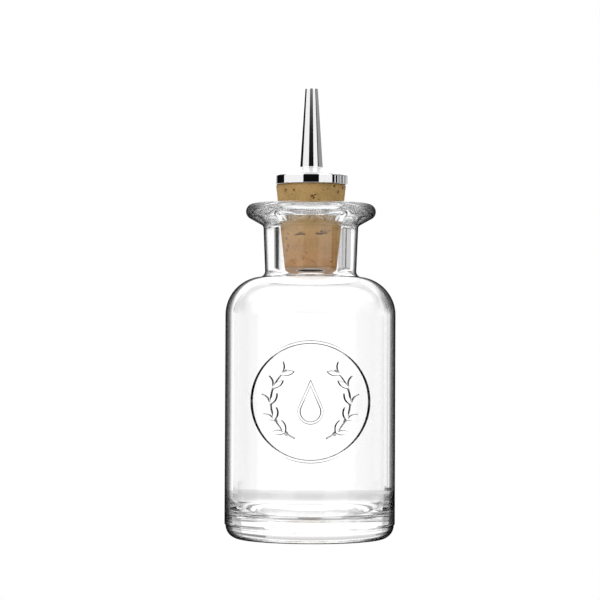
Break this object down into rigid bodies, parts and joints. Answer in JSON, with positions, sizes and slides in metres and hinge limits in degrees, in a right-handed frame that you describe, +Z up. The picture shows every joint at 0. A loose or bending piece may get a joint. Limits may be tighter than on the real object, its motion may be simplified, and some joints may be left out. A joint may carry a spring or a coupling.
{
  "type": "bitters bottle",
  "caption": "Clear glass bitters bottle with a straight body, thick base and flared lip, closed by a tapered cork that carries a chrome cap with a slim pouring spout.",
  "frame": {"origin": "centre of the bottle's footprint, on the surface it stands on", "axes": "+Z up along the bottle's axis, towards the spout; the medallion faces -Y"},
  "size_m": [0.0505, 0.0512, 0.1337],
  "materials": {
    "clear_glass": "clear, polished",
    "cork": "natural cork, unsealed",
    "chrome": "bright plated",
    "stem_steel": "plain drawn tube"
  },
  "bodies": {
    "bottle": {"glass_bottle": "clear_glass"},
    "stopper": {"cork_stopper": "cork", "dasher_cap": "chrome", "pour_spout": "chrome", "stem_tube": "stem_steel"}
  },
  "joints": [
    {"name": "stopper_lift", "type": "slide", "parent": "bottle", "child": "stopper", "axis": [0, 0, 1], "range_m": [0, 0.055]}
  ]
}
